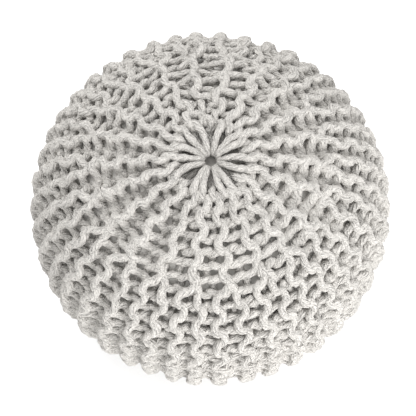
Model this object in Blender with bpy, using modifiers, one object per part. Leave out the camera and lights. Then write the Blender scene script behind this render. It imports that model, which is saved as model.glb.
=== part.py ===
"""Knitted pouf: a thick garter-stitch cover drawn over a filled round inner casing.

The cover is knitted sideways, so its ridges run from the crown down the sides. Next to the crown they
are gathered to half as many, and each forks into two further down. The cover is hollow, with a small
eye at the crown, and the casing fills it.

Metres, +Z up, origin at the centre of the underside.
"""

import math

import bpy
import bmesh

# Outer size, over the ridges' crests
DIAMETER = 0.500
HEIGHT = 0.340
WIDEST_LEVEL = 0.165
PROFILE_POWER = 2.3  # 2 is an ellipse, and more is squarer
UNDERSIDE_DEPTH = 0.190  # from the widest level to where the underside would end with no floor

# Ridges
RIDGES = 44
GATHERED_RIDGES = RIDGES // 2
RIDGE_RELIEF = 0.009
CREST_ROUNDNESS = 0.7  # below 1 the crests are broad and the valleys narrow
GATHERED_RELIEF_SHARE = 0.45  # of the gathered ridges' pitch, where that is less than the full relief
FORK_FROM = 0.135  # along the surface from the crown
FORK_TO = 0.185
DRIFT = ((3, 0.6, 0.016), (7, 2.1, 0.009), (13, 4.0, 0.005))  # (waves round, phase, radians astray)
DRIFT_TURN = 5.0  # radians of phase a metre down the surface

# Crown
EYE_RADIUS = 0.0075
EYE_DIP = 0.010
EYE_DIP_RADIUS = 0.018

# Inner casing
COVER_THICKNESS = 0.020  # from the crests to the casing
CLEARANCE = 0.0003
CASING_SWELL = 0.004  # up into the crown's eye
CASING_SWELL_SHAPE = ((0.0, 1.0), (0.5, 0.75))  # (share of the eye's radius, share of the swell)

# Mesh
FINE_STEPS = 20000
CROWN_RINGS = (0.010, 0.016, 0.025, 0.037, 0.052, 0.070)  # along the surface from the crown
RING_SPACING = 0.028
COLUMNS_PER_RIDGE = 4
INNER_COLUMNS = 44
INNER_RING_SPACING = 0.040
MERGE_DISTANCE = 0.00001
SHARP_ANGLE = math.radians(50)

RADIUS = DIAMETER / 2


def smooth_step(low, high, value):
    """0 below low, 1 above high, and a smooth rise between them."""
    share = min(1.0, max(0.0, (value - low) / (high - low)))
    return share * share * (3 - 2 * share)


def outline(inset):
    """Fine (radius, height) points of the turned outline, inset all round, from the crown to the floor."""
    points = []
    for i in range(FINE_STEPS + 1):
        turn = math.pi * i / FINE_STEPS
        across, up = math.sin(turn), math.cos(turn)
        depth = HEIGHT - WIDEST_LEVEL if up > 0 else UNDERSIDE_DEPTH
        r = RADIUS * max(across, 0.0) ** (2 / PROFILE_POWER)
        z = WIDEST_LEVEL + math.copysign(depth * abs(up) ** (2 / PROFILE_POWER), up)
        # the outward normal of the superellipse at this point
        out_r = (r / RADIUS) ** (PROFILE_POWER - 1) / RADIUS
        out_z = math.copysign((abs(z - WIDEST_LEVEL) / depth) ** (PROFILE_POWER - 1) / depth, up)
        long = math.hypot(out_r, out_z)
        point = (r - inset * out_r / long, z - inset * out_z / long)
        if point[1] < inset:
            break
        points.append((max(point[0], 0.0), point[1]))
    points.append((points[-1][0], inset))
    return points


def lengths_along(points):
    """How far each point lies along the line of points."""
    along = [0.0]
    for a, b in zip(points, points[1:]):
        along.append(along[-1] + math.dist(a, b))
    return along


def picked(points, places):
    """The points of a fine line that lie at the given lengths along it."""
    along = lengths_along(points)
    found, i = [], 0
    for place in places:
        while i < len(along) - 1 and along[i] < place:
            i += 1
        found.append(points[i])
    return found


def ring_places(length, first, spacing):
    """Lengths along a line: the first ones as listed, then even steps of about the spacing to its end."""
    rest = length - first[-1]
    count = round(rest / spacing)
    return [*first, *(first[-1] + rest * (i + 1) / count for i in range(count))]


def dip(r):
    """How far the crown sinks towards its eye."""
    return EYE_DIP * math.exp(-((r / EYE_DIP_RADIUS) ** 2))


def turned(name, points, columns, collection):
    """A closed body turned from a profile that starts and ends on the axis and runs downwards."""
    bm = bmesh.new()
    verts = [bm.verts.new((r, 0.0, z)) for r, z in points]
    for a, b in zip(verts, verts[1:]):
        bm.edges.new((a, b))
    mesh = bpy.data.meshes.new(name)
    bm.to_mesh(mesh)
    bm.free()
    body = bpy.data.objects.new(name, mesh)
    collection.objects.link(body)
    screw = body.modifiers.new("Turn", "SCREW")
    screw.steps = screw.render_steps = columns
    screw.use_merge_vertices = True
    screw.merge_threshold = MERGE_DISTANCE
    return body


def apply_modifiers(body):
    """Turns a body into the plain mesh that its modifiers make."""
    shaped = body.evaluated_get(bpy.context.evaluated_depsgraph_get())
    body.data = bpy.data.meshes.new_from_object(shaped)
    body.modifiers.clear()


def drift(azimuth, along):
    """How far a ridge strays sideways from its even place, in radians."""
    turn = DRIFT_TURN * along
    return sum(size * math.sin(waves * azimuth + phase + turn) for waves, phase, size in DRIFT)


def valley_depth(azimuth, along, r):
    """How far the surface lies below the crests."""
    gathered = abs(math.cos(azimuth * GATHERED_RIDGES / 2)) ** CREST_ROUNDNESS
    forked = abs(math.sin(azimuth * RIDGES / 2)) ** CREST_ROUNDNESS
    share = smooth_step(FORK_FROM, FORK_TO, along)
    relief = min(RIDGE_RELIEF, GATHERED_RELIEF_SHARE * math.tau * r / GATHERED_RIDGES)
    return relief * (1 - gathered * (1 - share) - forked * share)


def raise_ridges(body, points, places):
    """Moves a turned body's points round to their ridges, and sinks the valleys between the crests."""
    for vertex in body.data.vertices:
        x, y, z = vertex.co
        r, azimuth = math.hypot(x, y), math.atan2(y, x)
        ring = min(range(len(points)), key=lambda i: math.dist(points[i], (r, z)))
        if r < MERGE_DISTANCE:
            continue
        before, after = points[max(ring - 1, 0)], points[min(ring + 1, len(points) - 2)]
        down = math.dist(before, after)
        inward = ((after[1] - before[1]) / down, -(after[0] - before[0]) / down)
        depth = valley_depth(azimuth, places[ring], r)
        if ring == len(points) - 2:  # the edge of the flat underside stays on the floor
            inward = (-1.0, 0.0)
        r, z = r + depth * inward[0], z + depth * inward[1]
        azimuth += drift(azimuth, places[ring])
        vertex.co = (r * math.cos(azimuth), r * math.sin(azimuth), z)


def cloth(name, colour, roughness):
    """A plain cloth material."""
    material = bpy.data.materials.new(name)
    material.use_nodes = True
    shader = material.node_tree.nodes["Principled BSDF"]
    shader.inputs["Base Color"].default_value = (*colour, 1.0)
    shader.inputs["Roughness"].default_value = roughness
    shader.inputs["Metallic"].default_value = 0.0
    return material


def make_cavity(cutters):
    """The cutter for the space inside the cover and for the crown's eye above it."""
    fine = [p for p in outline(COVER_THICKNESS) if p[0] > EYE_RADIUS]
    length = lengths_along(fine)[-1]
    wall = picked(fine, ring_places(length, (0.0,), INNER_RING_SPACING))
    neck = [(0.0, HEIGHT + EYE_DIP), (EYE_RADIUS, HEIGHT + EYE_DIP)]
    cavity = turned("cavity", [*neck, *wall, (0.0, COVER_THICKNESS)], INNER_COLUMNS, cutters)
    cavity.rotation_euler.z = math.pi / INNER_COLUMNS
    cavity.hide_render = True
    cavity.display_type = "WIRE"
    return cavity


def make_cover(parts, cavity):
    """The knitted cover: a turned body with its ridges raised, hollowed out."""
    fine = outline(0.0)
    places = [0.0, *ring_places(lengths_along(fine)[-1], CROWN_RINGS, RING_SPACING)]
    rings = [(r, z - dip(r)) for r, z in picked(fine, places)]
    rings.append((0.0, 0.0))
    cover = turned("knit_cover", rings, RIDGES * COLUMNS_PER_RIDGE, parts)
    apply_modifiers(cover)
    raise_ridges(cover, rings, [*places, places[-1]])
    cover.data.materials.append(cloth("cotton_yarn", (0.56, 0.52, 0.48), 0.9))
    cover.data.shade_smooth()
    cover.data.set_sharp_from_angle(angle=SHARP_ANGLE)
    hollow = cover.modifiers.new("Hollow", "BOOLEAN")
    hollow.operation = "DIFFERENCE"
    hollow.solver = "EXACT"
    hollow.object = cavity


def make_casing(parts):
    """The filled casing, a little clear of the cover all round, swelling up into the crown's eye."""
    inset = COVER_THICKNESS + CLEARANCE
    fine = [p for p in outline(inset) if p[0] > EYE_RADIUS]
    length = lengths_along(fine)[-1]
    wall = picked(fine, ring_places(length, (0.0,), INNER_RING_SPACING))
    swell = [(r * EYE_RADIUS, HEIGHT - inset + up * CASING_SWELL) for r, up in CASING_SWELL_SHAPE]
    casing = turned("inner_casing", [*swell, *wall, (0.0, inset)], INNER_COLUMNS, parts)
    casing.rotation_euler.z = math.pi / INNER_COLUMNS
    apply_modifiers(casing)
    casing.data.materials.append(cloth("casing_cloth", (0.60, 0.57, 0.54), 0.8))
    casing.data.shade_smooth()


def main():
    for leftover in list(bpy.data.objects):
        bpy.data.objects.remove(leftover)
    parts = bpy.data.collections.new("knitted_pouf")
    cutters = bpy.data.collections.new("cutters")
    bpy.context.scene.collection.children.link(parts)
    bpy.context.scene.collection.children.link(cutters)
    make_cover(parts, make_cavity(cutters))
    make_casing(parts)


main()
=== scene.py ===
"""Knitted pouf: the yarn of its garter-stitch cover, laid stitch by stitch, over its filled casing.

The cover is knitted sideways, so its rows run from the crown down the sides and under. Every other
ridge stops short of the crown, where its rows turn back, so the ridges there are gathered to half as
many. The yarn's line is worked out row by row and swept by a node tree. Lengths are metres, +Z is up,
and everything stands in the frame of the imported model.
"""

import math

import bpy
import numpy as np
from bpy.props import FloatProperty, FloatVectorProperty, IntProperty, PointerProperty
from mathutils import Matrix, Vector


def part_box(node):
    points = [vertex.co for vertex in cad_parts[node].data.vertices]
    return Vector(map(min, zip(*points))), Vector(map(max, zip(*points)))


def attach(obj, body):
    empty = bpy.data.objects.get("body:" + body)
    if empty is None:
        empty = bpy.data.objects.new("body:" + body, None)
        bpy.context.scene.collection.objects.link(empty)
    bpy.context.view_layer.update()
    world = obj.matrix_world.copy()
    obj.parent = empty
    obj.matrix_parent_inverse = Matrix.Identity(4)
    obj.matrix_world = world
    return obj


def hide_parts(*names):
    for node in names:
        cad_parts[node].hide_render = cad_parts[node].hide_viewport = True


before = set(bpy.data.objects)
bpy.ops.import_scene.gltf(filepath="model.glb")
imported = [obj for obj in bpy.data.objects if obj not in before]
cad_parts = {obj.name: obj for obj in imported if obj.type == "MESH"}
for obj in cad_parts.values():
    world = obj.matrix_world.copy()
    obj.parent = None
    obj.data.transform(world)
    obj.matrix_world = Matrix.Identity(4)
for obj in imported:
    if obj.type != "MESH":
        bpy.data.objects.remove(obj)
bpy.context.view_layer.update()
COVER_LOW, COVER_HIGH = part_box("knit_cover")
CASING_LOW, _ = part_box("inner_casing")

bl_info = {
    "name": "Knitted Pouf",
    "version": (1, 0, 0),
    "blender": (4, 5, 0),
    "location": "View3D > Sidebar > Pouf",
    "description": "Builds a garter-stitch pouf: its yarn cover, its casing and a plain stage",
    "category": "Add Mesh",
}

# Sizes from the frame
RADIUS = (COVER_HIGH.x - COVER_LOW.x) / 2
HEIGHT = COVER_HIGH.z
CASING_INSET = CASING_LOW.z

# The turned outline, as shares of the height
WIDEST_SHARE = 0.487
UNDERSIDE_SHARE = 0.560  # from the widest level to where the underside would end with no floor
PROFILE_POWER = 2.3  # 2 is an ellipse, and more is squarer
FLOOR_ROUNDING = 0.012
CROWN_DIP = 0.006
CROWN_DIP_RADIUS = 0.018
OUTLINE_STEP = 0.0005

# The knitting. A period is four rows: they make one gathered ridge, which forks into two further down.
PERIODS = 22
COURSES = 4 * PERIODS
WALES = 17  # stitches in a full row
SHORT_STITCHES = 3  # that a short row stops before a full one
FIRST_STITCH = 0.0434  # along the surface from the crown
ROW_TABLE = (
    # (ridge at its feet, ridge at its heads, heads outside, short at the crown, short underneath)
    ("start", "first", True, False, True),
    ("first", "turn", False, True, True),
    ("turn", "second", True, True, False),
    ("second", "end", False, False, False),
)
FORK_SPREAD = (0.006, 0.039)  # past a fork, where its two ridges start to part and have parted
CROWN_SHARE_END = 0.05  # past a fork, where the crown's looser knitting has ended
SIDE = (0.20, 0.28)  # along from the crown, where the cover turns down its side
FULL_RUNGS = (0.19, 0.27)  # along, where the rungs reach their full thickness
SINK_FROM = (0.05, 0.08)  # along, where the rungs start to sink between the ridges
LIFTS = (
    # (share of the way from the middle of a rung to its inner or outer arc, lift in levels where the
    # cover lies flat, and where its ridges are rolled up)
    (-1.0, -0.9, -1.4), (-0.9, -0.85, -1.3), (-0.8, -0.6, -1.05), (-0.7, -0.15, -0.8), (-0.6, 0.2, -0.65),
    (-0.45, 0.36, -0.5), (-0.2, 0.4, -0.4), (0.0, 0.36, -0.25), (0.2, 0.3, 0.1), (0.35, 0.32, 0.6),
    (0.5, 0.46, 0.95), (0.65, 0.74, 1.05), (0.8, 0.93, 1.0), (0.9, 0.99, 0.92), (1.0, 1.0, 0.88),
)
SECTORS = (
    # (degrees round from the right, rungs' thickness near the crown and past the forks, arcs' reach near
    # the crown and past the forks, how far the rungs sink, how far down the forks are moved, share of the
    # unevenness): the filling pulls the cover about, so the knitting isn't the same all round. At 98
    # degrees its two ends are sewn together.
    (0, 1.52, 1.2, 0.58, 0.7, 1.5, -0.014, 1.0), (45, 1.38, 1.1, 0.66, 0.75, 1.1, -0.012, 1.0),
    (80, 1.0, 0.97, 0.72, 0.76, 0.0, -0.004, 1.9), (98, 0.96, 0.93, 0.66, 0.7, 0.0, 0.0, 2.6),
    (115, 1.0, 0.95, 0.7, 0.76, 0.0, 0.0, 1.9), (150, 1.1, 1.0, 0.7, 0.75, 0.9, 0.0, 1.2),
    (190, 1.32, 1.1, 0.5, 0.6, 1.6, 0.0, 1.0), (230, 1.12, 0.92, 0.62, 0.72, 1.3, -0.003, 1.0),
    (270, 0.99, 0.8, 0.88, 1.02, 0.15, 0.0, 1.1), (300, 1.15, 0.92, 0.82, 0.95, 0.6, -0.006, 1.0),
    (325, 1.45, 1.26, 0.66, 0.72, 1.3, -0.014, 1.0),
)
RUNGS, FORKED_RUNGS, REACH, FORKED_REACH, SINK, FORK_SHIFT, ROUGHNESS = range(1, 8)  # SECTORS' columns
FORKED_SINK_SHARE = 0.6
LARGEST_REACH = 0.6  # of a row's width
REACH_CHANGE = 0.2  # share by which the arcs' reach wanders
REACH_CHANGE_STITCHES = 3  # over which it does
SIDEWAYS_UNEVENNESS = 0.7  # of the unevenness along the row
LIFT_UNEVENNESS = 0.5
ARC_SWELL_SHARES = (0.1, 0.75)  # of the way to the outer arc, where the yarn takes the arc's thickness
DRIFT = ((3, 0.6, 0.016), (7, 2.1, 0.009), (13, 4.0, 0.005))  # (waves round, phase, radians astray)
DRIFT_TURN = 5.0  # radians of phase a metre down the surface
POINTS_PER_STITCH = 22
WANDERS_PER_STITCH = 3

# The spokes: the yarn between two rows, drawn to the crown's eye and back, and the same underneath
HAIRPIN = (
    # (share of the way to the eye, lift in eye levels, share of the way over to the next row)
    (0.2, 1.0, 0.0), (0.4, 1.0, 0.0), (0.6, 0.95, 0.0), (0.8, 0.85, 0.0), (0.92, 0.65, 0.0),
    (1.0, 0.3, 0.0),
    (1.03, -0.1, 0.1), (0.97, -0.45, 0.3), (0.8, -0.6, 0.6), (0.6, -0.8, 0.85), (0.4, -0.95, 1.0),
    (0.2, -1.0, 1.0),
)
EYE_LEVEL = 0.0075
SUNK_SPOKES = (1, 4, 6, 9, 12, 14, 17, 20)  # periods whose spoke dives under the others
SUNK_THICKNESS = 0.85
SUNK_LIFT = (0.6, 3.5, -0.8)  # at the start of a sunk spoke, how fast it dives, and its lowest
SPOKE_THICKNESS = (0.78, 0.95)
SPOKE_STRAY = 0.36  # of a period, sideways
SPOKE_STRAY_TURN = 4.1  # radians from one spoke to the next, which keeps them uneven
CROWN_STRAY = 0.004  # of the first stitches, down the surface
CROWN_STRAY_TURN = 2.4  # radians from one period to the next
CROWN_STRAY_END = 0.06

FLOOR_SQUASH = 0.002  # over the floor, where the yarn starts to flatten

# The cover's pieces, as ranges of periods
PIECES = ((0, 5), (5, 9), (9, 13), (13, 17), (17, 22))

# The casing
CASING_SWELL = 0.001
CASING_COLUMNS = 128
CASING_RINGS = 60
EYE_SHADE = (0.008, 0.020)  # from the middle, where the eye's painted shade starts to fade and has gone

# Materials
LUMP_SCALE = 170.0
LUMP_DETAIL = 1.5
FIBRE_SCALE = 540.0
FIBRE_DETAIL = 2.5
FIBRE_STRETCH = 0.19
FUZZ_SCALE = 420.0
FUZZ_DETAIL = 3.0
STRAND_SHARPNESS = 0.5
RELIEF = (0.55, 2.2, 1.8)  # of strand, fibre and fuzz
TONE = (0.18, 1.6, 1.5)  # of strand, fibre and fuzz, in the painted shade and highlight of the yarn's colour
RELIEF_STRENGTH = 1.06
TONE_OFFSET = -0.75  # added to the tones' sum
CREASE_SHADE_AND_CREST_HIGHLIGHT = (0.42, 1.18)  # of the yarn's colour: painted shade in its creases and painted highlight on its crests
WEAVE_STRENGTH = 0.6
MOTTLE_SCALE = 60.0
MOTTLE_DETAIL = 3.0
MOTTLE = (0.5, 0.75)  # the mottling's size, and what it is added to

# The stage
LIGHTS = (
    # (name, place, size, power)
    ("overhead", (-0.5, 1.1, 1.6), 1.2, 22.0),
    ("front", (1.2, -2.0, 1.0), 1.6, 66.0),
)
LIGHT_TARGET = (0.0, 0.0, 0.17)
CAMERA_TARGET = (-0.0033, 0.0, 0.1545)
FLOOR_SIZE = 12.0


def smooth_step(low, high, value):
    """0 below low, 1 above high, and a smooth rise between them."""
    share = np.clip((np.asarray(value, float) - low) / (high - low), 0.0, 1.0)
    return share * share * (3 - 2 * share)


def drift(azimuth, along):
    """How far the knitting strays sideways from its even place, in radians."""
    turn = DRIFT_TURN * along
    return sum(size * np.sin(waves * azimuth + phase + turn) for waves, phase, size in DRIFT)


def around(column, azimuth):
    """A column of SECTORS, read at an azimuth."""
    degrees, values = [row[0] for row in SECTORS], [row[column] for row in SECTORS]
    return np.interp(np.degrees(azimuth), degrees, values, period=360)


def wander(period, number, kind, stitch):
    """A smooth seeded wander from -1 to 1 along a row."""
    values = np.random.default_rng((period % PERIODS, number, kind)).uniform(
        -1, 1, int(stitch[-1] * WANDERS_PER_STITCH) + 3)
    place = stitch * WANDERS_PER_STITCH
    whole = np.floor(place).astype(int)
    share = smooth_step(0, 1, place - whole)
    return values[whole] * (1 - share) + values[whole + 1] * share


class Outline:
    """The pouf's turned outline, inset all round, as arrays from the crown to the underside's middle."""

    def __init__(self, inset):
        turn = np.linspace(0.0, math.pi, 8001)
        across, up = np.sin(turn), np.cos(turn)
        widest = HEIGHT * WIDEST_SHARE
        depth = np.where(up > 0, HEIGHT - widest, HEIGHT * UNDERSIDE_SHARE)
        r = RADIUS * np.maximum(across, 0.0) ** (2 / PROFILE_POWER)
        rise = np.sign(up) * np.abs(up) ** (2 / PROFILE_POWER)
        # the outward normal of the superellipse
        out_r = (r / RADIUS) ** (PROFILE_POWER - 1) / RADIUS
        out_z = np.sign(up) * np.abs(rise) ** (PROFILE_POWER - 1) / depth
        size = np.hypot(out_r, out_z)
        r, z = r - inset * out_r / size, widest + depth * rise - inset * out_z / size
        keep = (z >= inset) & (r >= 0)
        r, z = np.append(r[keep], 0.0), np.append(z[keep], inset)
        r[0] = 0.0
        z = z - np.where(z > widest, CROWN_DIP * np.exp(-((r / CROWN_DIP_RADIUS) ** 2)), 0.0)
        along = np.append(0.0, np.cumsum(np.hypot(np.diff(r), np.diff(z))))
        places = np.linspace(0.0, along[-1], int(along[-1] / OUTLINE_STEP) + 1)
        self.r, self.z = self.rounded(np.interp(places, along, r), np.interp(places, along, z))
        self.along = np.append(0.0, np.cumsum(np.hypot(np.diff(self.r), np.diff(self.z))))
        self.length = self.along[-1]
        slope_r, slope_z = np.gradient(self.r, self.along), np.gradient(self.z, self.along)
        size = np.hypot(slope_r, slope_z)
        self.out_r, self.out_z = -slope_z / size, slope_r / size

    def rounded(self, r, z):
        """The outline with the corner where its side meets the floor rounded off."""
        reach = int(FLOOR_ROUNDING / OUTLINE_STEP)
        kernel = np.hanning(2 * reach + 1)
        kernel /= kernel.sum()
        r_wide = np.concatenate([-r[reach:0:-1], r, -r[-2 : -reach - 2 : -1]])
        z_wide = np.concatenate([z[reach:0:-1], z, z[-2 : -reach - 2 : -1]])
        r, z = np.convolve(r_wide, kernel, "valid"), np.convolve(z_wide, kernel, "valid")
        r[[0, -1]] = 0.0
        return r, z

    def place(self, azimuth, along, lift):
        """Points in space for places on the outline's surface, lifted off it outwards."""
        r = np.interp(along, self.along, self.r) + lift * np.interp(along, self.along, self.out_r)
        z = np.interp(along, self.along, self.z) + lift * np.interp(along, self.along, self.out_z)
        return np.stack([r * np.cos(azimuth), r * np.sin(azimuth), z], axis=-1)

    def radius_at(self, along):
        """The outline's distance from the axis."""
        return np.interp(along, self.along, self.r)


class Knit:
    """Where the yarn goes: the ridges, rows and stitches on the cover's middle surface."""

    def __init__(self, settings):
        self.settings = settings
        self.surface = Outline(settings.fabric_depth)
        self.wale = (self.surface.length - 2 * FIRST_STITCH) / WALES
        self.fork = FIRST_STITCH + SHORT_STITCHES * self.wale

    def ridge(self, name, along):
        """A ridge's place round the pouf, in courses from its period's middle."""
        start, end = (self.fork + spread for spread in FORK_SPREAD)
        forked = smooth_step(start, end, along)
        closed = 1 - smooth_step(start, end, self.surface.length - along)
        return {
            "start": -2.0 + 0 * forked,
            "first": -forked * (1 + closed),
            "turn": -2.0 * closed,
            "second": forked * (1 - closed),
            "end": 2.0 + 0 * forked,
        }[name]

    def row(self, period, number):
        """A row's points from its crown end to its other end, as (azimuth, along, lift, thickness)."""
        s = self.settings
        feet, heads, out, short_top, short_foot = ROW_TABLE[number]
        first = SHORT_STITCHES if short_top else 0
        last = WALES - (SHORT_STITCHES if short_foot else 0)
        stitch = np.arange((last - first) * POINTS_PER_STITCH + 1) / POINTS_PER_STITCH
        turn = 2 * math.pi * stitch
        start = 2 * math.pi * period / PERIODS
        rough = s.unevenness * around(ROUGHNESS, start)
        along = FIRST_STITCH + (first + stitch) * self.wale + s.lean * np.sin(2 * turn)
        along = along + s.slant * np.cos(turn) + rough * wander(period, number, 0, stitch)

        # the ridges on both sides of the row, and the yarn's swing from one to the other
        shifted = along - around(FORK_SHIFT, start)
        low, high = self.ridge(feet, shifted), self.ridge(heads, shifted)
        course = 2 * math.pi / COURSES
        r = np.maximum(self.surface.radius_at(along), 0.01)
        width = (high - low) * course * r
        middle = start + (low + high) / 2 * course
        forked = smooth_step(self.fork, self.fork + CROWN_SHARE_END, along)
        near, far = around(REACH, middle), around(FORKED_REACH, middle)
        reach = s.overlap * (near + (far - near) * forked)
        reach = reach * (1 + REACH_CHANGE * wander(period, number, 4, stitch / REACH_CHANGE_STITCHES))
        swing = width / 2 + np.minimum(reach, LARGEST_REACH * width)
        swing = swing + SIDEWAYS_UNEVENNESS * rough * wander(period, number, 1, stitch)
        azimuth = middle - swing / r * np.cos(turn)
        azimuth = azimuth + drift(azimuth, along)

        # out over one ridge and in under the other
        outward = np.cos(turn) * (-1 if out else 1)
        sink = around(SINK, middle) * (1 - (1 - FORKED_SINK_SHARE) * forked) * smooth_step(*SINK_FROM, along)
        rolled_share = 1 - (1 - smooth_step(*SIDE, along)) * (1 - sink)
        shares, flat, rolled = zip(*LIFTS)
        lift = np.interp(outward, shares, flat) * (1 - rolled_share)
        lift = s.level * (lift + np.interp(outward, shares, rolled) * rolled_share)
        lift = lift + LIFT_UNEVENNESS * rough * wander(period, number, 2, stitch)

        near, far = around(RUNGS, middle), around(FORKED_RUNGS, middle)
        rungs = near + (far - near) * forked
        rungs = rungs + (1 + s.fullness - rungs) * smooth_step(*FULL_RUNGS, along)
        thick = 1 + s.thickness_change * wander(period, number, 3, stitch)
        thick *= rungs + (1 + s.arc_swell - rungs) * smooth_step(*ARC_SWELL_SHARES, outward)
        lift = lift - (thick - 1) * s.yarn_radius
        crown = 1 - smooth_step(FIRST_STITCH, FIRST_STITCH + CROWN_STRAY_END, along)
        along = along + CROWN_STRAY * math.sin(CROWN_STRAY_TURN * period) * crown
        return np.stack([azimuth, along, lift, thick], axis=-1)

    def hairpin(self, before, after, period, at_crown):
        """The yarn between two rows at an eye: up to it in the outer layer, and back in the inner one."""
        s, length = self.settings, self.surface.length
        sunk = period in SUNK_SPOKES
        start = before[1] if at_crown else length - before[1]
        stray = SPOKE_STRAY * math.sin(SPOKE_STRAY_TURN * period + at_crown) * 2 * math.pi / PERIODS
        thinnest, thickest = SPOKE_THICKNESS
        dive_from, dive, lowest = SUNK_LIFT
        rows = []
        for toward, lift, across in HAIRPIN:
            along = start + (s.eye_reach - start) * toward
            room = 2 * math.pi * along / PERIODS
            thick = min(thickest, max(thinnest, room / (2 * s.yarn_radius)))
            thick *= SUNK_THICKNESS if sunk else 1.0
            azimuth = before[0] + (after[0] - before[0]) * across
            azimuth += stray * math.sin(math.pi * min(1.0, toward)) * (1 - across)
            if sunk:
                lift = min(lift, max(lowest, dive_from - dive * toward))
            rows.append((azimuth, along if at_crown else length - along, EYE_LEVEL * lift, thick))
        return np.array(rows)

    def yarn(self, period):
        """The yarn of one period: down, up, down and up again, and over to the next period."""
        rows = [self.row(period, number) for number in range(len(ROW_TABLE))]
        rows[1], rows[3] = rows[1][::-1], rows[3][::-1]
        next_start = self.row(period + 1, 0)[0]
        foot = self.hairpin(rows[2][-1], rows[3][0], period, False)
        crown = self.hairpin(rows[3][-1], next_start, period, True)
        spots = np.concatenate([rows[0], rows[1], rows[2], foot, rows[3], crown])
        points = self.surface.place(spots[:, 0], spots[:, 1], spots[:, 2])
        return evenly(np.c_[points, spots[:, 3]], self.settings.spacing)


def evenly(points, spacing):
    """Rows of numbers that start with a place in space, resampled to even steps along their line."""
    along = np.append(0.0, np.cumsum(np.linalg.norm(np.diff(points[:, :3], axis=0), axis=1)))
    places = np.linspace(0.0, along[-1], max(2, round(along[-1] / spacing)) + 1)
    return np.stack([np.interp(places, along, column) for column in points.T], axis=-1)


class PoufKnitSettings(bpy.types.PropertyGroup):
    """The yarn and how it is knitted: laid by formula and never pushed apart, so it cuts into itself"""

    yarn_radius: FloatProperty(
        name="Yarn Radius", description="Half the thickness of the yarn",
        default=0.0051, min=0.002, max=0.008, unit="LENGTH")
    fabric_depth: FloatProperty(
        name="Fabric Depth", description="From the ridges' crests in to the middle of the knitting",
        default=0.0117, min=0.006, max=0.016, unit="LENGTH")
    level: FloatProperty(
        name="Level", description="How far the yarn rises over a ridge and sinks under the next",
        default=0.0062, min=0.0, max=0.010, unit="LENGTH")
    overlap: FloatProperty(
        name="Overlap", description="How far each loop reaches past its ridge's middle",
        default=0.0053, min=0.0, max=0.010, unit="LENGTH")
    lean: FloatProperty(
        name="Lean", description="How far each loop widens towards its arc",
        default=0.0050, min=0.0, max=0.008, unit="LENGTH")
    slant: FloatProperty(
        name="Slant", description="How far the yarn drifts down the pouf between one ridge and the next",
        default=0.0016, min=-0.005, max=0.005, unit="LENGTH")
    fullness: FloatProperty(
        name="Fullness", description="How much thicker the yarn is between the ridges, down the sides",
        default=0.26, min=-0.3, max=0.5)
    arc_swell: FloatProperty(
        name="Arc Swell", description="How much thicker the yarn is over the ridges",
        default=0.05, min=-0.3, max=0.5)
    unevenness: FloatProperty(
        name="Unevenness", description="How far a hand-knitted stitch strays from its even place",
        default=0.0024, min=0.0, max=0.005, unit="LENGTH")
    thickness_change: FloatProperty(
        name="Thickness Change", description="How much the yarn's thickness varies along it",
        default=0.12, min=0.0, max=0.3)
    eye_reach: FloatProperty(
        name="Eye Reach", description="From the middle of the crown's eye to the yarn drawn round it",
        default=0.0116, min=0.008, max=0.020, unit="LENGTH")
    spacing: FloatProperty(
        name="Spacing", description="Between the sections of the yarn's mesh",
        default=0.0040, min=0.002, max=0.008, unit="LENGTH")
    sides: IntProperty(name="Sides", description="Sides of the yarn's section", default=12, min=6, max=16)
    lumpiness: FloatProperty(
        name="Lumpiness", description="How far the yarn's surface swells and sinks, from end to end",
        default=0.0042, min=0.0, max=0.008, unit="LENGTH")
    strands: IntProperty(
        name="Strands", description="Strands twisted together in the yarn", default=6, min=2, max=12)
    twist_length: FloatProperty(
        name="Twist Length", description="Along the yarn for one full turn of its strands",
        default=0.056, min=0.02, max=0.2, unit="LENGTH")
    strand_relief: FloatProperty(
        name="Strand Relief", description="Depth of the creases between the strands",
        default=0.0026, min=0.0, max=0.005, unit="LENGTH")
    colour: FloatVectorProperty(
        name="Colour", description="The yarn's colour", subtype="COLOR",
        default=(0.57, 0.55, 0.52), min=0.0, max=1.0)


class PoufCasingSettings(bpy.types.PropertyGroup):
    """The casing's cloth"""

    weave_spacing: FloatProperty(
        name="Weave Spacing", description="Between the middles of neighbouring threads",
        default=0.0014, min=0.0005, max=0.004, unit="LENGTH")
    weave_relief: FloatProperty(
        name="Weave Relief", description="Height of the threads over one another",
        default=0.0004, min=0.0, max=0.001, unit="LENGTH")
    colour: FloatVectorProperty(
        name="Colour", description="The casing's colour", subtype="COLOR",
        default=(0.68, 0.66, 0.63), min=0.0, max=1.0)
    # painted shade: the casing's colour darkened where the crown's eye lies in shadow, not a colour of the
    # cloth
    eye_shade_colour: FloatVectorProperty(
        name="Eye Colour", description="The casing's colour in the crown's eye", subtype="COLOR",
        default=(0.46, 0.44, 0.415), min=0.0, max=1.0)


class PoufStageSettings(bpy.types.PropertyGroup):
    """The floor, the light and the camera"""

    floor_colour: FloatVectorProperty(
        name="Floor Colour", description="The floor's colour", subtype="COLOR",
        default=(0.86, 0.86, 0.86), min=0.0, max=1.0)
    surround: FloatProperty(
        name="Surround", description="Strength of the even white light from all round",
        default=1.14, min=0.0, max=3.0)
    camera_elevation: FloatProperty(
        name="Camera Elevation", description="The camera's angle over the floor",
        default=math.radians(69.6), min=0.0, max=math.pi / 2, unit="ROTATION")
    camera_distance: FloatProperty(
        name="Camera Distance", description="From the camera to its target",
        default=1.5, min=0.8, unit="LENGTH")
    camera_lens: FloatProperty(
        name="Camera Lens", description="Focal length in millimetres", default=92.1, min=20.0, max=200.0)


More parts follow.
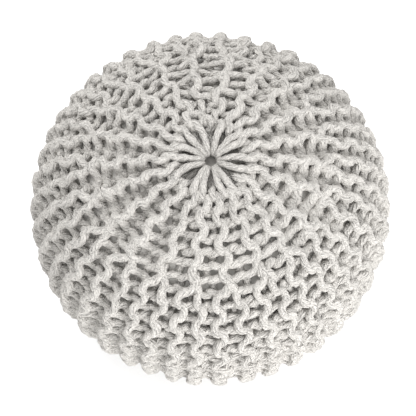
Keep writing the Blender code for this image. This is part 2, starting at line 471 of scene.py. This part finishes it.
def yarn_tree():
    """The node tree that sweeps the yarn's lumpy round section along its line."""
    tree = bpy.data.node_groups.new("Pouf Yarn", "GeometryNodeTree")
    for name, kind in (("Geometry", "Geometry"), ("Yarn Radius", "Float"), ("Sides", "Int"),
                       ("Lumpiness", "Float"), ("Material", "Material")):
        tree.interface.new_socket(name, in_out="INPUT", socket_type=f"NodeSocket{kind}")
    tree.interface.new_socket("Geometry", in_out="OUTPUT", socket_type="NodeSocketGeometry")
    nodes, links = tree.nodes, tree.links
    given, made = nodes.new("NodeGroupInput"), nodes.new("NodeGroupOutput")

    # the line keeps how far along the yarn each point is
    keep_along = nodes.new("GeometryNodeStoreNamedAttribute")
    keep_along.data_type, keep_along.domain = "FLOAT", "POINT"
    keep_along.inputs["Name"].default_value = "yarn_length"
    line_place = nodes.new("GeometryNodeSplineParameter")
    links.new(given.outputs["Geometry"], keep_along.inputs["Geometry"])
    links.new(line_place.outputs["Length"], keep_along.inputs["Value"])

    # and the section keeps which way each of its points faces
    section = nodes.new("GeometryNodeCurvePrimitiveCircle")
    spot = nodes.new("GeometryNodeInputPosition")
    facing = nodes.new("ShaderNodeVectorMath")
    facing.operation = "NORMALIZE"
    keep_round = nodes.new("GeometryNodeStoreNamedAttribute")
    keep_round.data_type, keep_round.domain = "FLOAT_VECTOR", "POINT"
    keep_round.inputs["Name"].default_value = "yarn_round"
    links.new(given.outputs["Sides"], section.inputs["Resolution"])
    links.new(given.outputs["Yarn Radius"], section.inputs["Radius"])
    links.new(section.outputs["Curve"], keep_round.inputs["Geometry"])
    links.new(spot.outputs["Position"], facing.inputs[0])
    links.new(facing.outputs["Vector"], keep_round.inputs["Value"])

    sweep = nodes.new("GeometryNodeCurveToMesh")
    sweep.inputs["Fill Caps"].default_value = True
    thickness = nodes.new("GeometryNodeInputRadius")
    smooth = nodes.new("GeometryNodeSetShadeSmooth")
    links.new(keep_along.outputs["Geometry"], sweep.inputs["Curve"])
    links.new(keep_round.outputs["Geometry"], sweep.inputs["Profile Curve"])
    links.new(thickness.outputs["Radius"], sweep.inputs["Scale"])
    links.new(sweep.outputs["Mesh"], smooth.inputs["Geometry"])

    # soft lumps: the surface moved along its normal by noise
    lumps = nodes.new("ShaderNodeTexNoise")
    lumps.inputs["Scale"].default_value = LUMP_SCALE
    lumps.inputs["Detail"].default_value = LUMP_DETAIL
    centred, amount = nodes.new("ShaderNodeMath"), nodes.new("ShaderNodeMath")
    centred.operation, amount.operation = "SUBTRACT", "MULTIPLY"
    centred.inputs[1].default_value = 0.5
    normal = nodes.new("GeometryNodeInputNormal")
    push = nodes.new("ShaderNodeVectorMath")
    push.operation = "SCALE"
    lumpy = nodes.new("GeometryNodeSetPosition")
    links.new(lumps.outputs["Fac"], centred.inputs[0])
    links.new(centred.outputs[0], amount.inputs[0])
    links.new(given.outputs["Lumpiness"], amount.inputs[1])
    links.new(normal.outputs["Normal"], push.inputs[0])
    links.new(amount.outputs[0], push.inputs["Scale"])
    links.new(push.outputs["Vector"], lumpy.inputs["Offset"])
    links.new(smooth.outputs["Geometry"], lumpy.inputs["Geometry"])

    real = nodes.new("GeometryNodeRealizeInstances")
    paint = nodes.new("GeometryNodeSetMaterial")
    links.new(lumpy.outputs["Geometry"], real.inputs["Geometry"])
    links.new(real.outputs["Geometry"], paint.inputs["Geometry"])
    links.new(given.outputs["Material"], paint.inputs["Material"])
    links.new(paint.outputs["Geometry"], made.inputs["Geometry"])
    return tree


def set_input(modifier, name, value):
    """Sets a node tree's input by its name."""
    for item in modifier.node_group.interface.items_tree:
        if item.in_out == "INPUT" and item.name == name:
            modifier[item.identifier] = value
            return
    raise RuntimeError(f"the node tree has no input named {name}")


def press_on_floor(mesh):
    """Flattens softly what comes within FLOOR_SQUASH of the floor or would go through it."""
    spots = np.empty(3 * len(mesh.vertices))
    mesh.vertices.foreach_get("co", spots)
    heights = spots[2::3]
    low = heights < FLOOR_SQUASH
    heights[low] = FLOOR_SQUASH * np.exp(heights[low] / FLOOR_SQUASH - 1)
    mesh.vertices.foreach_set("co", spots)
    mesh.update()


def sweep_yarn(name, line, settings, tree, material):
    """A mesh piece of yarn, swept by the node tree along a line of (x, y, z, thickness) points."""
    curve = bpy.data.curves.new(name, "CURVE")
    curve.dimensions = "3D"
    spline = curve.splines.new("POLY")
    spline.points.add(len(line) - 1)
    spline.points.foreach_set("co", np.c_[line[:, :3], np.ones(len(line))].ravel())
    spline.points.foreach_set("radius", line[:, 3])
    guide = bpy.data.objects.new(name + "_line", curve)
    bpy.context.scene.collection.objects.link(guide)
    modifier = guide.modifiers.new("Yarn", "NODES")
    modifier.node_group = tree
    set_input(modifier, "Yarn Radius", settings.yarn_radius)
    set_input(modifier, "Sides", settings.sides)
    set_input(modifier, "Lumpiness", settings.lumpiness)
    set_input(modifier, "Material", material)
    shaped = guide.evaluated_get(bpy.context.evaluated_depsgraph_get())
    mesh = bpy.data.meshes.new_from_object(shaped)
    bpy.data.objects.remove(guide)
    bpy.data.curves.remove(curve)
    if not mesh.polygons:
        raise RuntimeError(f"the node tree made no faces for {name}")
    press_on_floor(mesh)
    piece = bpy.data.objects.new(name, mesh)
    bpy.context.scene.collection.objects.link(piece)
    return piece


def new_material(name, roughness):
    """A material with its nodes, its links and its shader."""
    material = bpy.data.materials.new(name)
    material.use_nodes = True
    nodes, links = material.node_tree.nodes, material.node_tree.links
    shader = nodes["Principled BSDF"]
    shader.inputs["Roughness"].default_value = roughness
    return material, nodes, links, shader


def math_node(nodes, links, operation, *values):
    """The output of a new Math node, whose inputs are sockets or numbers."""
    node = nodes.new("ShaderNodeMath")
    node.operation = operation
    for socket, value in zip(node.inputs, values):
        if isinstance(value, bpy.types.NodeSocket):
            links.new(value, socket)
        else:
            socket.default_value = value
    return node.outputs[0]


def noise_node(nodes, links, vector, scale, detail):
    """The output of a new Noise node."""
    node = nodes.new("ShaderNodeTexNoise")
    node.inputs["Scale"].default_value = scale
    node.inputs["Detail"].default_value = detail
    links.new(vector, node.inputs["Vector"])
    return node.outputs["Fac"]


def mix_colours(nodes, links, factor, low, high):
    """The output of a new Mix node between two colours."""
    node = nodes.new("ShaderNodeMix")
    node.data_type = "RGBA"
    node.inputs["A"].default_value = (*low, 1.0)
    node.inputs["B"].default_value = (*high, 1.0)
    links.new(factor, node.inputs["Factor"])
    return node.outputs["Result"]


def bump_node(nodes, links, height, strength, distance):
    """The output of a new Bump node."""
    node = nodes.new("ShaderNodeBump")
    node.inputs["Strength"].default_value = strength
    node.inputs["Distance"].default_value = distance
    links.new(height, node.inputs["Height"])
    return node.outputs["Normal"]


def yarn_material(settings):
    """Spun cotton: twisted strands, fibres drawn out along them and fuzz, in relief, and in tone as painted
    shade in their creases and painted highlight on their crests.
    """
    material, nodes, links, shader = new_material("cotton yarn", 0.95)
    shader.inputs["Specular IOR Level"].default_value = 0.2
    length, facing = nodes.new("ShaderNodeAttribute"), nodes.new("ShaderNodeAttribute")
    length.attribute_name, facing.attribute_name = "yarn_length", "yarn_round"
    split = nodes.new("ShaderNodeSeparateXYZ")
    links.new(facing.outputs["Vector"], split.inputs[0])

    def maths(operation, *values):
        return math_node(nodes, links, operation, *values)

    # strands: a wave round the section that winds along the yarn
    angle = maths("ARCTAN2", split.outputs["Y"], split.outputs["X"])
    wind = maths("ADD", angle, maths("MULTIPLY", length.outputs["Fac"], 2 * math.pi / settings.twist_length))
    wave = maths("ABSOLUTE", maths("SINE", maths("MULTIPLY", wind, settings.strands / 2)))
    strand = maths("POWER", wave, STRAND_SHARPNESS)

    # fibres: noise drawn out along the strands
    along = nodes.new("ShaderNodeCombineXYZ")
    links.new(maths("MULTIPLY", maths("COSINE", wind), settings.yarn_radius), along.inputs["X"])
    links.new(maths("MULTIPLY", maths("SINE", wind), settings.yarn_radius), along.inputs["Y"])
    links.new(maths("MULTIPLY", length.outputs["Fac"], FIBRE_STRETCH), along.inputs["Z"])
    fibre = noise_node(nodes, links, along.outputs["Vector"], FIBRE_SCALE, FIBRE_DETAIL)
    place = nodes.new("ShaderNodeTexCoord")
    fuzz = noise_node(nodes, links, place.outputs["Object"], FUZZ_SCALE, FUZZ_DETAIL)

    def mixed(shares, offset):
        total = maths("MULTIPLY_ADD", strand, shares[0], offset)
        total = maths("ADD", total, maths("MULTIPLY", fibre, shares[1]))
        return maths("ADD", total, maths("MULTIPLY", fuzz, shares[2]))

    relief = bump_node(nodes, links, mixed(RELIEF, 0.0), RELIEF_STRENGTH, settings.strand_relief)
    # painted shade and highlight: from the same heights as the relief, the yarn's colour is darker in the
    # creases and hollows and lighter on the crests
    dark, light = ([shade * channel for channel in settings.colour] for shade in CREASE_SHADE_AND_CREST_HIGHLIGHT)
    colour = mix_colours(nodes, links, mixed(TONE, TONE_OFFSET), dark, light)
    links.new(relief, shader.inputs["Normal"])
    links.new(colour, shader.inputs["Base Color"])
    return material


def cloth_material(settings):
    """Plain-woven cloth, mottled a little, with painted shade in the crown's eye, where it lies in shadow.
    """
    material, nodes, links, shader = new_material("casing cloth", 0.85)

    def maths(operation, *values):
        return math_node(nodes, links, operation, *values)

    # weave: threads both ways, each over the other in turn
    unrolled = nodes.new("ShaderNodeUVMap")
    unrolled.uv_map = "Unrolled"
    split = nodes.new("ShaderNodeSeparateXYZ")
    links.new(unrolled.outputs["UV"], split.inputs[0])
    turns = math.pi / settings.weave_spacing
    one, other = (maths("SINE", maths("MULTIPLY", split.outputs[axis], turns)) for axis in "XY")
    over = maths("GREATER_THAN", maths("MULTIPLY", one, other), 0.0)
    one, other = maths("ABSOLUTE", one), maths("ABSOLUTE", other)
    height = maths("MULTIPLY_ADD", over, maths("SUBTRACT", one, other), other)
    relief = bump_node(nodes, links, height, WEAVE_STRENGTH, settings.weave_relief)

    # colour: mottled by noise, and darker near the eye's middle, which is painted shade for the eye lying in
    # shadow
    place = nodes.new("ShaderNodeTexCoord")
    across = nodes.new("ShaderNodeSeparateXYZ")
    links.new(place.outputs["Object"], across.inputs[0])
    x, y = across.outputs["X"], across.outputs["Y"]
    away = nodes.new("ShaderNodeMapRange")
    away.interpolation_type = "SMOOTHSTEP"
    away.inputs["From Min"].default_value, away.inputs["From Max"].default_value = EYE_SHADE
    radius = maths("SQRT", maths("ADD", maths("MULTIPLY", x, x), maths("MULTIPLY", y, y)))
    links.new(radius, away.inputs["Value"])
    mottle = noise_node(nodes, links, place.outputs["Object"], MOTTLE_SCALE, MOTTLE_DETAIL)
    share = maths("MULTIPLY", away.outputs["Result"], maths("MULTIPLY_ADD", mottle, *MOTTLE))
    # painted shade: the eye's darker colour fades into the cloth's own colour away from the middle
    colour = mix_colours(nodes, links, share, settings.eye_shade_colour, settings.colour)
    links.new(relief, shader.inputs["Normal"])
    links.new(colour, shader.inputs["Base Color"])
    return material


class POUF_OT_knit_cover(bpy.types.Operator):
    """Lays the cover's yarn, row by row, and sweeps it into the cover's pieces"""

    bl_idname = "pouf.knit_cover"
    bl_label = "Knit Cover"

    def execute(self, context):
        settings = context.scene.pouf_knit
        knit = Knit(settings)
        periods = [knit.yarn(period) for period in range(PERIODS)]
        tree, material = yarn_tree(), yarn_material(settings)
        for number, (first, after) in enumerate(PIECES, start=1):
            line = np.concatenate(periods[first:after])
            if after < PERIODS:  # on to the next piece's first point
                line = np.concatenate([line, periods[after][:1]])
            piece = sweep_yarn(f"knit_cover_{number}", line, settings, tree, material)
            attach(piece, "root")
            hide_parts("knit_cover")
        return {"FINISHED"}


class POUF_OT_inner_casing(bpy.types.Operator):
    """Makes the filled casing as one closed turned mesh"""

    bl_idname = "pouf.inner_casing"
    bl_label = "Inner Casing"

    def execute(self, context):
        surface = Outline(CASING_INSET - CASING_SWELL)
        columns, rings = CASING_COLUMNS, CASING_RINGS
        places = np.linspace(0.0, surface.length, rings + 1)
        azimuth = np.linspace(0.0, 2 * math.pi, columns, endpoint=False)
        around_places = [(angle, place) for place in places[1:-1] for angle in azimuth]
        spots = np.array([(0.0, 0.0), *around_places, (0.0, surface.length)])
        points = surface.place(spots[:, 0], spots[:, 1], 0.0)
        last = len(points) - 1
        faces = []
        for column in range(columns):
            after = (column + 1) % columns
            faces.append((0, 1 + column, 1 + after))
            for ring in range(rings - 2):
                high, low = 1 + ring * columns, 1 + (ring + 1) * columns
                faces.append((high + column, low + column, low + after, high + after))
            faces.append((last, last - columns + after, last - columns + column))
        mesh = bpy.data.meshes.new("casing")
        mesh.from_pydata([tuple(point) for point in points], [], faces)
        mesh.shade_smooth()
        unrolled = np.stack([spots[:, 1] * np.cos(spots[:, 0]), spots[:, 1] * np.sin(spots[:, 0])], axis=-1)
        corners = np.array([loop.vertex_index for loop in mesh.loops])
        mesh.uv_layers.new(name="Unrolled").data.foreach_set("uv", unrolled[corners].ravel())
        mesh.materials.append(cloth_material(context.scene.pouf_casing))
        piece = bpy.data.objects.new("casing", mesh)
        context.scene.collection.objects.link(piece)
        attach(piece, "root")
        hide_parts("inner_casing")
        return {"FINISHED"}


class POUF_OT_stage(bpy.types.Operator):
    """Adds the floor, the soft studio light and the camera"""

    bl_idname = "pouf.stage"
    bl_label = "Stage"

    def execute(self, context):
        scene, settings = context.scene, context.scene.pouf_stage
        bpy.ops.mesh.primitive_plane_add(size=FLOOR_SIZE)
        floor = context.active_object
        floor.name = "floor"
        material, _, _, shader = new_material("floor", 0.5)
        shader.inputs["Base Color"].default_value = (*settings.floor_colour, 1.0)
        floor.data.materials.append(material)
        for name, place, size, power in LIGHTS:
            light = bpy.data.lights.new(name, "AREA")
            light.size, light.energy = size, power
            lamp = bpy.data.objects.new(name, light)
            lamp.location = place
            lamp.rotation_euler = (Vector(LIGHT_TARGET) - Vector(place)).to_track_quat("-Z", "Y").to_euler()
            scene.collection.objects.link(lamp)
        world = bpy.data.worlds.new("studio")
        world.use_nodes = True
        world.node_tree.nodes["Background"].inputs["Color"].default_value = (1.0, 1.0, 1.0, 1.0)
        world.node_tree.nodes["Background"].inputs["Strength"].default_value = settings.surround
        scene.world = world
        scene.view_settings.view_transform = "Standard"
        camera = bpy.data.cameras.new("camera")
        camera.lens = settings.camera_lens
        viewer = bpy.data.objects.new("camera", camera)
        elevation = settings.camera_elevation
        back = Vector((0.0, -math.cos(elevation), math.sin(elevation)))
        viewer.location = Vector(CAMERA_TARGET) + back * settings.camera_distance
        viewer.rotation_euler = (-back).to_track_quat("-Z", "Y").to_euler()
        scene.collection.objects.link(viewer)
        scene.camera = viewer
        return {"FINISHED"}


class POUF_PT_panel(bpy.types.Panel):
    """The pouf's settings, and the steps that build it"""

    bl_idname = "POUF_PT_panel"
    bl_label = "Knitted Pouf"
    bl_space_type = "VIEW_3D"
    bl_region_type = "UI"
    bl_category = "Pouf"

    def draw(self, context):
        scene = context.scene
        for settings, step in (
            (scene.pouf_knit, POUF_OT_knit_cover),
            (scene.pouf_casing, POUF_OT_inner_casing),
            (scene.pouf_stage, POUF_OT_stage),
        ):
            box = self.layout.box()
            for name in settings.__annotations__:
                box.prop(settings, name)
            box.operator(step.bl_idname)


CLASSES = (
    PoufKnitSettings,
    PoufCasingSettings,
    PoufStageSettings,
    POUF_OT_knit_cover,
    POUF_OT_inner_casing,
    POUF_OT_stage,
    POUF_PT_panel,
)


def register():
    for entry in CLASSES:
        bpy.utils.register_class(entry)
    bpy.types.Scene.pouf_knit = PointerProperty(type=PoufKnitSettings)
    bpy.types.Scene.pouf_casing = PointerProperty(type=PoufCasingSettings)
    bpy.types.Scene.pouf_stage = PointerProperty(type=PoufStageSettings)


def unregister():
    del bpy.types.Scene.pouf_stage
    del bpy.types.Scene.pouf_casing
    del bpy.types.Scene.pouf_knit
    for entry in reversed(CLASSES):
        bpy.utils.unregister_class(entry)


def main():
    register()
    bpy.ops.pouf.knit_cover()
    bpy.ops.pouf.inner_casing()
    bpy.ops.pouf.stage()


if __name__ == "__main__":
    main()
